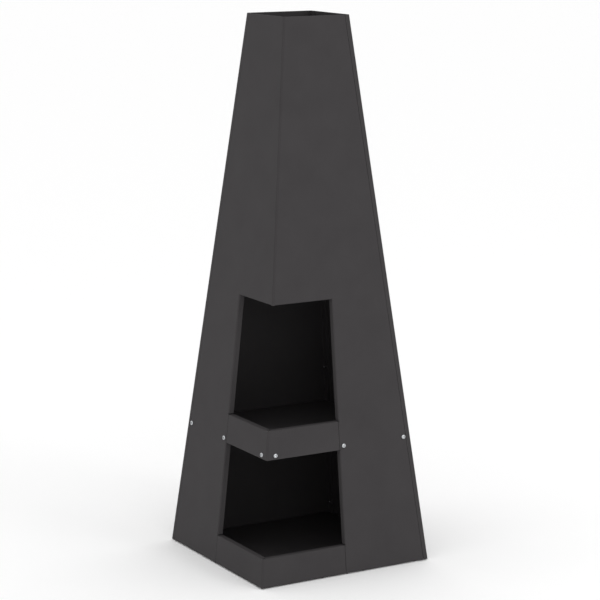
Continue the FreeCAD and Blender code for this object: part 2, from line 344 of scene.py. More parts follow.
# ---------------------------------------------------------------- pieces

def add_object(name: str, data: bpy.types.ID) -> bpy.types.Object:
    """Make an object at the origin and put it in the scene."""
    item = bpy.data.objects.new(name, data)
    bpy.context.scene.collection.objects.link(item)
    return item


def applied(source: bpy.types.Object, name: str) -> bpy.types.Object:
    """Make a plain piece from an object with modifiers.

    Args:
        source: The object, which is removed.
        name: The piece's name.

    Returns:
        The piece, with no modifier left on it.
    """
    graph = bpy.context.evaluated_depsgraph_get()
    mesh = bpy.data.meshes.new_from_object(source.evaluated_get(graph), depsgraph=graph)
    bpy.data.objects.remove(source)
    mesh.name = name
    return add_object(name, mesh)


# ---------------------------------------------------------------- folded sheet

@dataclass(frozen=True)
class Fold:
    """How the sheets are folded: thickness, bend radii and the smoothness of their arcs."""

    thickness: float = 1.98 * MM
    corner: float = 3.3 * MM
    hem: float = 2.7 * MM
    steps: int = 8
    hem_steps: int = 6
    support: float = 1.1 * MM
    edge_round: float = 0.38 * MM
    edge_steps: int = 2
    edge_angle: float = math.radians(50)
    merge: float = 0.005 * MM

    def hem_profile(self, depth: float) -> list[tuple[float, float]]:
        """Section of an edge turned inwards by a right angle.

        Args:
            depth: Distance from the outside to the flange's free edge.

        Returns:
            Pairs of the distance from the edge's plane, back along the wall, and the depth inwards.
        """
        r = self.hem
        points = []
        for i in range(self.hem_steps + 1):
            turn = math.radians(90) * i / self.hem_steps
            points.append((r - r * math.sin(turn), r - r * math.cos(turn)))
        points.append((0.0, r + self.support))
        points.append((0.0, depth))
        return points


class SheetSkin:
    """Outer skin of one sheet, gathered patch by patch, then thickened and finished."""

    def __init__(self, fold: Fold) -> None:
        """Start an empty skin."""
        self.fold = fold
        self.points: list[Vector] = []
        # painted shade: how much darker bend tone each point carries
        self.painted_bend_shades: list[float] = []
        self.faces: list[list[int]] = []

    def add(self, point: Vector, crease: float = 0.0) -> int:
        """Add one point and return its number."""
        self.points.append(point)
        self.painted_bend_shades.append(crease)
        return len(self.points) - 1

    def grid(self, rows: Sequence[Sequence[Vector]]) -> None:
        """Add a patch of quads between rows of points."""
        numbers = [[self.add(point) for point in row] for row in rows]
        for lower, upper in zip(numbers, numbers[1:]):
            for i in range(len(lower) - 1):
                self.faces.append([lower[i], lower[i + 1], upper[i + 1], upper[i]])

    def polygon(self, points: Sequence[Vector]) -> None:
        """Add one flat face."""
        self.faces.append([self.add(point) for point in points])

    def _outer_mesh(self, name: str, outside: Outside) -> bpy.types.Mesh:
        """Merge the patches and turn the whole skin to face outside."""
        mesh = bpy.data.meshes.new(name)
        mesh.from_pydata([tuple(p) for p in self.points], [], self.faces)
        # painted shade: 1 on the bend lines, which the coating darkens
        crease = mesh.attributes.new("crease", "FLOAT", "POINT")
        crease.data.foreach_set("value", self.painted_bend_shades)
        shape = bmesh.new()
        shape.from_mesh(mesh)
        bmesh.ops.remove_doubles(shape, verts=shape.verts, dist=self.fold.merge)
        bmesh.ops.recalc_face_normals(shape, faces=shape.faces)
        largest = max(shape.faces, key=lambda f: f.calc_area())
        middle = largest.calc_center_median()
        away = Vector((middle.x, middle.y, 0)) if outside is Outside.AWAY else Vector((0, 0, 1))
        if largest.normal.dot(away) < 0:
            bmesh.ops.reverse_faces(shape, faces=shape.faces)
        for face in shape.faces:
            face.smooth = True
        shape.to_mesh(mesh)
        shape.free()
        return mesh

    def build(self, name: str, outside: Outside, finishes: Finishes) -> bpy.types.Object:
        """Thicken the skin inwards, round its cut edges and make the piece.

        Args:
            name: The piece's name.
            outside: Which way the skin's largest flat faces.
            finishes: The object's materials.

        Returns:
            The finished piece, with no modifier left on it.
        """
        raw = add_object(name + "_skin", self._outer_mesh(name, outside))
        raw.data.materials.append(finishes.coat)
        raw.data.materials.append(finishes.cut_edge)
        wall = raw.modifiers.new("thickness", "SOLIDIFY")
        wall.thickness, wall.offset, wall.use_even_offset = self.fold.thickness, -1.0, True
        rim = raw.modifiers.new("coated_edges", "BEVEL")
        rim.width, rim.segments, rim.limit_method = self.fold.edge_round, self.fold.edge_steps, "ANGLE"
        # the rounded cut edges take the lighter edge coating, partly a painted highlight
        rim.angle_limit, rim.material = self.fold.edge_angle, 1
        rim.use_clamp_overlap = True
        raw.modifiers.new("flat_faces", "WEIGHTED_NORMAL")
        return applied(raw, name)


class FoldedWall:
    """Grid of a sheet's upright faces: columns along its plan path, rows at its levels."""

    def __init__(self, taper: Taper, columns: dict[str, Plan], rows: dict[str, float]) -> None:
        """Keep the named columns and rows, in order."""
        self.taper = taper
        self.columns = columns
        self.rows = rows
        self.skipped: set[tuple[int, int]] = set()

    def skip(self, first: str, last: str, low: str, high: str) -> None:
        """Leave out the cells between two columns and two rows."""
        names, levels = list(self.columns), list(self.rows)
        for i in range(names.index(first), names.index(last)):
            for j in range(levels.index(low), levels.index(high)):
                self.skipped.add((i, j))

    def skip_both(self, start: str, end: str, low: str, high: str) -> None:
        """Leave out the same cells on both front faces, whose columns run opposite ways."""
        self.skip("right_" + start, "right_" + end, low, high)
        self.skip("left_" + end, "left_" + start, low, high)

    def into(self, skin: SheetSkin, painted_shade_columns: Sequence[str] = ()) -> None:
        """Add the cells that are kept to a skin, with painted bend shade marked on the columns in
        painted_shade_columns.
        """
        numbers = []
        for level in self.rows.values():
            half = self.taper.half(level)
            row = []
            for name, plan in self.columns.items():
                x, y = plan(half)
                # painted shade: points on the listed bend columns get the darker bend tone
                row.append(skin.add(Vector((x, y, level)), 1.0 if name in painted_shade_columns else 0.0))
            numbers.append(row)
        for j, (lower, upper) in enumerate(zip(numbers, numbers[1:])):
            for i in range(len(lower) - 1):
                if (i, j) not in self.skipped:
                    skin.faces.append([lower[i], lower[i + 1], upper[i + 1], upper[i]])


def corner_arc(radius: float, start: float, steps: int) -> dict[str, tuple[float, float]]:
    """Points of a quarter bend after its first tangent, as offsets from the square corner it rounds.

    Args:
        radius: Outside radius of the bend.
        start: Direction of the first tangent point from the bend's centre, in degrees: 180 is the
            front corner, 270 the right one and 0 the back one.
        steps: Flats in the arc.

    Returns:
        Named offsets, the last on the second tangent.
    """
    middle = math.radians(start + 45)
    back = radius * math.sqrt(2)
    cx, cy = -back * math.cos(middle), -back * math.sin(middle)
    points = {}
    for i in range(1, steps + 1):
        turn = math.radians(start + 90 * i / steps)
        points[f"bend_{i}"] = (cx + radius * math.cos(turn), cy + radius * math.sin(turn))
    return points


@dataclass(frozen=True)
class Levels:
    """The sheets' levels."""

    plinth_top: float
    band_low: float
    band_high: float
    hood: float
    shelf_low: float
    shelf_top: float
    plate_top: float
    sheet: float

    @classmethod
    def from_frame(cls) -> "Levels":
        """Read the boxes of the sheets, and the lowest point of the shell over the open corner."""
        band, shelf, plate = (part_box(node) for node in ("front_band", "fire_shelf", "base_plate"))
        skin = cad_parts["front_shell"].data.vertices
        inside = -20 * MM
        hood = min(v.co.z for v in skin if v.co.x < inside and v.co.y < inside)
        return cls(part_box("plinth")[1].z, band[0].z, band[1].z, hood, shelf[0].z, shelf[1].z,
                   plate[1].z, plate[1].z - plate[0].z)


@dataclass
class SheetWork:
    """What every sheet-metal sub-assembly shares."""

    taper: Taper
    levels: Levels
    finishes: Finishes
    fold: Fold = field(default_factory=Fold)
    flange: float = 13 * MM
    foot_flange: float = 22 * MM
    foot_end: float = 24 * MM
    lip: float = 12 * MM
    lap_seam: float = 1.0 * MM
    flange_clear: float = 22 * MM
    bend_clear: float = 6 * MM
    clearance: float = 0.5 * MM
    corner_clear: float = 1.2 * MM
    mitre_gap: float = 0.4 * MM
    seam: float = 1.0 * MM

    def dress(self, piece: bpy.types.Object, node: str) -> bpy.types.Object:
        """Tie a finished piece to the frame and report it."""
        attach(piece, "root")
        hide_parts(node)
        logger.info("%s: %d faces", piece.name, len(piece.data.polygons))
        return piece

    def front_columns(self, side: dict[str, Along]) -> dict[str, Plan]:
        """Plan path over both front faces, from the left end round the front corner to the right end.

        Args:
            side: Named distances along a front face, from the corner bend outwards.

        Returns:
            Named plan points, with left_ and right_ before the side's names.
        """
        columns: dict[str, Plan] = {}
        for name, along in reversed(side.items()):
            columns["left_" + name] = lambda w, a=along: (-w, a(w))
        arc = corner_arc(self.fold.corner, 180, self.fold.steps)
        for name, offset in list(arc.items())[:-1]:
            columns[name] = lambda w, o=offset: (-w + o[0], -w + o[1])
        for name, along in side.items():
            columns["right_" + name] = lambda w, a=along: (a(w), -w)
        return columns

    def level_hem(self, skin: SheetSkin, face: Face, ends: Sequence[Along], edge: float, sign: int,
                  depth: float, mitred: bool = False) -> None:
        """Add a level edge turned inwards.

        Args:
            skin: The skin that gets the hem.
            face: The wall that it is on.
            ends: Distances along the wall of the hem's columns, which the wall has too.
            edge: Level of the hem's outer face.
            sign: 1 where the wall rises from the hem, -1 where it hangs from it.
            depth: Depth of the hem from the outside.
            mitred: True if the first end is cut back at 45 degrees beside the front corner.
        """
        rows = []
        for travel, inwards in self.fold.hem_profile(depth):
            level = edge + sign * travel
            half = self.taper.half(level)
            places = [along(half) for along in ends]
            if mitred:
                places[0] = max(places[0], -half + inwards + self.mitre_gap)
            rows.append([face.point(self.taper, place, level, inwards) for place in places])
        skin.grid(rows)

    def upright_hem(self, skin: SheetSkin, face: Face, low: float, high: float) -> None:
        """Add an opening's upright edge turned inwards, on a face's centre line."""
        rows = []
        for travel, inwards in self.fold.hem_profile(self.flange):
            rows.append([face.point(self.taper, travel, level, inwards) for level in (low, high)])
        skin.grid(rows)


@dataclass
class FrontShell(SheetWork):
    """Hood and side panels in one sheet, bent at the front corner and open below the hood."""

    relief: float = 1.2 * MM

    def build(self) -> bpy.types.Object:
        """Fold the shell."""
        fold, levels, taper = self.fold, self.levels, self.taper
        side: dict[str, Along] = {
            "tangent": lambda w: -w + fold.corner,
            "tangent_flat": lambda w: -w + fold.corner + fold.support,
            "clear": lambda w: -w + fold.corner + fold.support + self.corner_clear,
            "short": lambda w: -self.mitre_gap,
            "mouth": lambda w: 0.0,
            "mouth_bend": lambda w: fold.hem,
            "mouth_flat": lambda w: fold.hem + fold.support,
            "foot_end": lambda w: w - self.foot_end,
            "seam_flat": lambda w: w - self.lip - self.lap_seam / 2 - fold.support,
            "seam": lambda w: w - self.lip - self.lap_seam / 2,
        }
        rows = {
            "foot": taper.foot,
            "foot_bend": taper.foot + fold.hem,
            "plinth": levels.plinth_top,
            "plinth_clear": levels.plinth_top + self.relief,
            "band_clear_low": levels.band_low - self.relief,
            "band_low": levels.band_low,
            "band_high": levels.band_high,
            "band_clear_high": levels.band_high + self.relief,
            "hood_clear": levels.hood - self.mitre_gap,
            "hood": levels.hood,
            "hood_bend": levels.hood + fold.hem,
            "hood_flat": levels.hood + fold.hem + fold.support,
            "rim_flat": taper.top - fold.support,
            "rim": taper.top,
        }
        skin = SheetSkin(fold)
        wall = FoldedWall(taper, self.front_columns(side), rows)
        wall.skip("left_mouth", "right_mouth", "foot", "hood")
        wall.skip_both("clear", "mouth", "hood", "hood_bend")
        for low, high in (("plinth", "band_low"), ("band_high", "hood")):
            wall.skip_both("mouth", "mouth_bend", low, high)
        for low, high in (("plinth", "plinth_clear"), ("band_clear_low", "band_low"),
                          ("band_high", "band_clear_high")):
            wall.skip_both("mouth_bend", "mouth_flat", low, high)
        wall.skip_both("mouth_flat", "foot_end", "foot", "foot_bend")
        wall.into(skin, painted_shade_columns=("left_tangent", "right_tangent"))
        for face in (Face.RIGHT_FRONT, Face.LEFT_FRONT):
            self.level_hem(skin, face, [side["clear"], side["short"]], levels.hood, 1,
                           self.flange, mitred=True)
            self.level_hem(skin, face, [side["mouth_flat"], side["foot_end"]], taper.foot, 1,
                           self.foot_flange)
            self.upright_hem(skin, face, rows["plinth_clear"], rows["band_clear_low"])
            self.upright_hem(skin, face, rows["band_clear_high"], rows["hood_clear"])
        return self.dress(skin.build("folded_front_shell", Outside.AWAY, self.finishes), "front_shell")


@dataclass
class CornerStrip(SheetWork):
    """L-shaped strip across the open corner: the band between the openings, or the plinth."""

    node: str = "front_band"
    has_foot: bool = False

    def build(self) -> bpy.types.Object:
        """Fold the strip, with its top edge turned in, and its foot too on the plinth."""
        fold = self.fold
        low, high = (corner.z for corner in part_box(self.node))
        side: dict[str, Along] = {
            "tangent": lambda w: -w + fold.corner,
            "tangent_flat": lambda w: -w + fold.corner + fold.support,
            "clear": lambda w: -w + fold.corner + fold.support + self.corner_clear,
            "end_flat": lambda w: -self.seam - fold.support,
            "end": lambda w: -self.seam,
        }
        rows = {"low": low, "low_bend": low + fold.hem, "high_bend": high - fold.hem, "high": high}
        skin = SheetSkin(fold)
        wall = FoldedWall(self.taper, self.front_columns(side), rows)
        hems = [(high, -1, self.flange, "high_bend", "high")]
        if self.has_foot:
            hems.append((low, 1, self.foot_flange, "low", "low_bend"))
        for edge, sign, depth, first, last in hems:
            wall.skip_both("clear", "end", first, last)
            for face in (Face.RIGHT_FRONT, Face.LEFT_FRONT):
                columns = [side["clear"], side["end_flat"], side["end"]]
                self.level_hem(skin, face, columns, edge, sign, depth, mitred=True)
        wall.into(skin, painted_shade_columns=("left_tangent", "right_tangent"))
        return self.dress(skin.build("folded_" + self.node, Outside.AWAY, self.finishes), self.node)


@dataclass
class RearPanel(SheetWork):
    """Rear panel: a tongue behind the front shell, a lip round the side corner, and the wall."""

    node: str = "rear_right_panel"
    mirrored: bool = False
    joggle: float = 0.7 * MM
    tongue: float = 34 * MM
    tongue_low: float = 8 * MM

    def _back(self) -> dict[str, Plan]:
        """Plan points past the end of the foot flange: a plain edge at the back corner."""
        return {"edge": lambda w: (w, w)}

    def _columns(self) -> dict[str, Plan]:
        """Plan path from the tongue's free edge to the back corner, for the panel on the right."""
        fold, sheet = self.fold, self.levels.sheet
        seam = self.lip - self.lap_seam / 2
        columns: dict[str, Plan] = {
            "tongue": lambda w: (w - self.tongue, -w + sheet),
            "step_in": lambda w: (w - seam - self.joggle / 2, -w + sheet),
            "step_out": lambda w: (w - seam + self.joggle / 2, -w),
            "lip_flat": lambda w: (w - seam + self.joggle / 2 + fold.support, -w),
            "tangent": lambda w: (w - fold.corner, -w),
        }
        for name, plan in corner_arc(fold.corner, 270, fold.steps).items():
            columns["side_" + name] = lambda w, p=plan: (w + p[0], -w + p[1])
        columns["wall_flat"] = lambda w: (w, -w + fold.corner + fold.support)
        columns["foot_start"] = lambda w: (w, -w + self.foot_end)
        columns["foot_end"] = lambda w: (w, w - self.foot_end)
        return columns | self._back()

    def build(self) -> bpy.types.Object:
        """Fold the panel."""
        fold, taper = self.fold, self.taper
        columns = self._columns()
        face = Face.RIGHT_REAR
        if self.mirrored:
            columns = {name: (lambda w, p=plan: p(w)[::-1]) for name, plan in columns.items()}
            face = Face.LEFT_REAR
        rows = {
            "foot": taper.foot,
            "foot_bend": taper.foot + fold.hem,
            "tongue_low": taper.foot + self.tongue_low,
            "tongue_high": taper.top - self.levels.sheet,
            "rim": taper.top,
        }
        skin = SheetSkin(fold)
        wall = FoldedWall(taper, columns, rows)
        wall.skip("tongue", "step_out", "foot", "tongue_low")
        wall.skip("tongue", "step_out", "tongue_high", "rim")
        wall.skip("foot_start", "foot_end", "foot", "foot_bend")
        wall.into(skin)
        ends: list[Along] = [lambda w: -w + self.foot_end, lambda w: w - self.foot_end]
        self.level_hem(skin, face, ends, taper.foot, 1, self.foot_flange)
        return self.dress(skin.build("folded_" + self.node, Outside.AWAY, self.finishes), self.node)


@dataclass
class RearLeftPanel(RearPanel):
    """Left rear panel: its back edge is turned in to lie inside the right one."""

    node: str = "rear_left_panel"
    mirrored: bool = True
    back_flange: float = 20 * MM

    def _back(self) -> dict[str, Plan]:
        """Bend and flange inside the back corner, in the right panel's plan before mirroring."""
        fold, sheet = self.fold, self.levels.sheet
        run = sheet + fold.corner
        columns: dict[str, Plan] = {
            "bend_flat": lambda w: (w, w - run - fold.support),
            "bend_start": lambda w: (w, w - run),
        }
        for name, plan in corner_arc(fold.corner, 0, fold.steps).items():
            columns["back_" + name] = lambda w, p=plan: (w + p[0], w - sheet + p[1])
        columns["flange_flat"] = lambda w: (w - fold.corner - fold.support, w - sheet)
        columns["flange"] = lambda w: (w - self.back_flange, w - sheet)
        return columns


@dataclass
class FireShelf(SheetWork):
    """Floor of the fire chamber: a level plate with its rim bent down all round."""

    clear: float = 8 * MM
    tongue: float = 36 * MM
    tab: tuple[float, float] = (34 * MM, 10 * MM)

    def _sides(self) -> list[tuple[Face, Along, Along, int]]:
        """Straight stretches of the rim in order round the plan: wall, start, end and layer."""
        near, far = (lambda w: -w + self.clear), (lambda w: w - self.tongue)
        tab_in, tab_out = (lambda w: w - self.tab[0]), (lambda w: w - self.tab[1])
        side = lambda w: -w + self.tongue
        flange, bend = (lambda w: w - self.flange_clear), (lambda w: w - self.bend_clear)
        return [(Face.RIGHT_FRONT, near, far, 1), (Face.RIGHT_FRONT, tab_in, tab_out, 2),
                (Face.RIGHT_REAR, side, flange, 1), (Face.LEFT_REAR, bend, side, 1),
                (Face.LEFT_FRONT, tab_out, tab_in, 2), (Face.LEFT_FRONT, far, near, 1)]

    def build(self) -> bpy.types.Object:
        """Fold the tray, whose floor runs between the tops of the rim's bends."""
        fold, levels, taper = self.fold, self.levels, self.taper
        skin = SheetSkin(fold)
        outline = []
        for face, start, end, layer in self._sides():
            bend = fold.hem_profile(fold.hem)[fold.hem_steps::-1]
            rows = []
            for drop, inwards in bend + [(levels.shelf_top - levels.shelf_low, 0.0)]:
                level = levels.shelf_top - drop
                half = taper.half(level)
                depth = layer * levels.sheet + inwards
                rows.append([face.point(taper, place(half), level, depth) for place in (start, end)])
            skin.grid(rows)
            outline += rows[0]
            if face is Face.RIGHT_REAR:
                outline += self._notch()
        skin.polygon(outline)
        return self.dress(skin.build("folded_fire_shelf", Outside.UP, self.finishes), "fire_shelf")

    def _notch(self) -> list[Vector]:
        """Floor's corners beside the left rear panel's flange and bend."""
        level = self.levels.shelf_top
        half = self.taper.half(level)
        beside = half - 2 * self.levels.sheet - self.clearance
        bend = half - self.bend_clear
        return [Vector((beside, half - self.flange_clear, level)), Vector((beside, bend, level)),
                Vector((bend, bend, level))]


@dataclass
class BasePlate(SheetWork):
    """Floor of the log store: a flat plate on the bottom flanges, trimmed at its corners."""

    corner_cut: float = 2 * MM

    def build(self) -> bpy.types.Object:
        """Cut the plate, with a notch round the flange inside the back corner."""
        level, sheet = self.levels.plate_top, self.levels.sheet
        whole = self.taper.half(level)
        half = whole - sheet - self.clearance
        cut, beside, bend = half - self.corner_cut, half - sheet, whole - self.bend_clear
        flange = whole - self.flange_clear
        plan = [(-half, -cut), (-cut, -half), (cut, -half), (half, -cut), (half, flange),
                (beside, flange), (beside, bend), (bend, bend), (bend, half), (-cut, half), (-half, cut)]
        skin = SheetSkin(self.fold)
        skin.polygon([Vector((x, y, level)) for x, y in plan])
        return self.dress(skin.build("cut_base_plate", Outside.UP, self.finishes), "base_plate")


# ---------------------------------------------------------------- fasteners

@dataclass(frozen=True)
class Place:
    """Where one fastener stands: its outermost point on its axis, its outward and side directions."""

    point: Vector
    outward: Vector
    side: Vector


class Kind(Enum):
    """How a group of fasteners is held, which gives its outward direction."""

    WALL = "through a leaning wall"
    SEAM = "through the right rear wall, beside the back corner"
    BASE = "up through the bottom flanges"


def islands(node: str) -> list[list[Vector]]:
    """Split a CAD node into its separate solids.

    Args:
        node: The CAD node's name.

    Returns:
        The points of each solid, in the order of the solids' lowest corners, the same each run.
    """
    shape = bmesh.new()
    shape.from_mesh(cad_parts[node].data)
    bmesh.ops.remove_doubles(shape, verts=shape.verts, dist=0.001 * MM)
    left = set(shape.verts)
    found = []
    while left:
        queue = [left.pop()]
        group = []
        while queue:
            vertex = queue.pop()
            group.append(vertex.co.copy())
            for edge in vertex.link_edges:
                other = edge.other_vert(vertex)
                if other in left:
                    left.remove(other)
                    queue.append(other)
        found.append(group)
    shape.free()
    return sorted(found, key=lambda group: [min(point[i] for point in group) for i in range(3)])


def places(node: str, kind: Kind, taper: Taper) -> list[Place]:
    """Work out where each fastener of a CAD node stands.

    Args:
        node: The CAD node's name.
        kind: How the group is held.
        taper: The body's outside.

    Returns:
        One place for each solid of the node.
    """
    found = []
    for group in islands(node):
        centre = sum(group, Vector()) / len(group)
        if kind is Kind.BASE:
            outward, side = Vector((0, 0, -1)), Vector((1, 0, 0))
        elif kind is Kind.SEAM:
            outward, side = Face.RIGHT_REAR.outward(taper), Face.RIGHT_REAR.side()
        else:
            face = max(Face, key=lambda f: centre.dot(Vector((*f.value[0], 0))))
            outward, side = face.outward(taper), face.side()
        across = outward.cross(side)
        spans = []
        for axis in (outward, side, across):
            reach = [point.dot(axis) for point in group]
            spans.append((min(reach), max(reach)))
        point = outward * spans[0][1] + side * sum(spans[1]) / 2 + across * sum(spans[2]) / 2
        found.append(Place(point, outward, side))
    return found


def hexagon(flats: float) -> Along:
    """Six-sided ring, flats metres across its flats, with a flat across the local Y axis."""
    def radius(turn: float) -> float:
        """Distance from the axis to the side at this turn."""
        sixth = math.radians(60)
        return flats / 2 / math.cos((turn % sixth) - sixth / 2)
    return radius


Ring = tuple[float | Along, float | Along]


def at_turn(value: float | Along, turn: float) -> float:
    """A ring's radius or level at one turn about +Z."""
    return value(turn) if callable(value) else value


def turned_mesh(name: str, rings: Sequence[Ring], count: int, closed_loop: bool) -> bpy.types.Mesh:
    """Make a mesh from rings about +Z.

    Args:
        name: The mesh's name.
        rings: For each ring, its radius and its level, as numbers or functions of the turn about +Z.
        count: Points in a ring.
        closed_loop: True if the last ring joins the first, as on a nut, and False if both close.

    Returns:
        The mesh, smooth with its sharp edges marked.
    """
    shape = bmesh.new()
    loops = []
    for radius, level in rings:
        loop = []
        for i in range(count):
            turn = 2 * math.pi * i / count
            r, z = at_turn(radius, turn), at_turn(level, turn)
            loop.append(shape.verts.new((r * math.cos(turn), r * math.sin(turn), z)))
        loops.append(loop)
    pairs = list(zip(loops, loops[1:]))
    if closed_loop:
        pairs.append((loops[-1], loops[0]))
    for first, second in pairs:
        for i in range(count):
            j = (i + 1) % count
            shape.faces.new((first[i], first[j], second[j], second[i]))
    if not closed_loop:
        shape.faces.new(loops[0])
        shape.faces.new(loops[-1])
    bmesh.ops.recalc_face_normals(shape, faces=shape.faces)
    for face in shape.faces:
        face.smooth = True
    mesh = bpy.data.meshes.new(name)
    shape.to_mesh(mesh)
    shape.free()
    mesh.set_sharp_from_angle(angle=math.radians(32))
    return mesh


@dataclass(frozen=True)
class Bolt:
    """Button-head bolt with a hexagon socket, its head's crown at z = 0."""

    head: float = 10.5 * MM
    height: float = 2.8 * MM
    crown: float = 5.6 * MM
    socket: float = 4 * MM
    socket_depth: float = 2.0 * MM
    thread: float = 5.9 * MM
    pitch: float = 1.0 * MM
    length: float = 16 * MM
    end_chamfer: float = 0.7 * MM
    mouth_flare: float = 0.25 * MM
    lead_in: float = 0.35 * MM
    drill_radius: float = 0.3 * MM
    socket_round: float = 0.3 * MM
    floor_round: float = 0.1 * MM
    seat_round: float = 0.12 * MM
    rim: float = 0.45 * MM
    dome_steps: int = 7
    thread_depth: float = 0.55
    points: int = 36

    def mesh(self) -> bpy.types.Mesh:
        """Turn the bolt: socket, crown, dome, seat, thread and chamfered end."""
        h, r = self.height, self.head / 2
        mouth = self.socket / math.sqrt(3) + self.mouth_flare
        rings: list[Ring] = [
            (self.drill_radius, -self.socket_depth - self.lead_in),
            (hexagon(self.socket - self.socket_round), -self.socket_depth),
            (hexagon(self.socket), -self.socket_depth + self.floor_round),
            (hexagon(self.socket), -self.lead_in),
            (mouth, 0.0),
            (self.crown / 2, 0.0),
        ]
        for i in range(1, self.dome_steps + 1):
            turn = math.radians(90) * i / self.dome_steps
            reach = self.crown / 2 + (r - self.crown / 2) * math.sin(turn)
            rings.append((reach, -(h - self.rim) * (1 - math.cos(turn))))
        crest = self.thread / 2
        root = crest - self.thread_depth * self.pitch
        rings += [(r, -h + self.seat_round), (r - self.seat_round, -h), (crest, -h)]
        level = -h - 0.5 * self.pitch
        end = -h - self.length
        while level - self.pitch > end + self.pitch:
            rings += [(crest, level), (root, level - 0.5 * self.pitch)]
            level -= self.pitch
        rings += [(crest, level), (crest, end + self.end_chamfer), (crest - self.end_chamfer, end)]
        return turned_mesh("button_bolt", rings, self.points, closed_loop=False)


@dataclass(frozen=True)
class Nut:
    """Hexagon nut with its outer face at z = 0, chamfered at both ends."""

    flats: float = 10 * MM
    height: float = 5 * MM
    bore: float = 6 * MM
    skirt: float = 0.0
    points: int = 36

    def mesh(self) -> bpy.types.Mesh:
        """Turn the nut, with a weld fillet round its seat where it has a skirt."""
        six, flat = hexagon(self.flats), self.flats / 2
        slope = math.tan(math.radians(28))

        def bevelled(base: float, sign: int) -> Along:
            """Level of the chamfer where it meets the six sides."""
            return lambda turn: base + sign * (six(turn) - flat + 0.15 * MM) * slope
        low = -self.height
        relief = 0.4 * MM
        rings: list[Ring] = [
            (self.bore / 2, -relief),
            (self.bore / 2 + relief, 0.0),
        ]
        if self.skirt:
            spread = self.flats / 2 + self.skirt
            rings.append((spread * 1.12, 0.0))
            rings.append((spread * 1.08, -0.3 * self.skirt))
            rings.append((six, -self.skirt))
        else:
            rings.append((flat - 0.15 * MM, 0.0))
            rings.append((six, bevelled(0.0, -1)))
        rings.append((six, bevelled(low, 1)))
        rings.append((flat - 0.15 * MM, low))
        rings.append((self.bore / 2 + relief, low))
        rings.append((self.bore / 2, low + relief))
        return turned_mesh("hexagon_nut", rings, self.points, closed_loop=True)


@dataclass(frozen=True)
class Washer:
    """Flat washer with its outer face at z = 0 and punched, slightly rounded edges."""

    outside: float = 11 * MM
    bore: float = 6.4 * MM
    thickness: float = 1.6 * MM
    edge_round: float = 0.2 * MM
    points: int = 36

    def mesh(self) -> bpy.types.Mesh:
        """Turn the washer."""
        r, b, t, e = self.outside / 2, self.bore / 2, self.thickness, self.edge_round
        rings: list[Ring] = [(b, -e), (b + e, 0.0), (r - e, 0.0), (r, -e), (r, -t + e), (r - e, -t),
                             (b + e, -t), (b, -t + e)]
        return turned_mesh("flat_washer", rings, self.points, closed_loop=True)


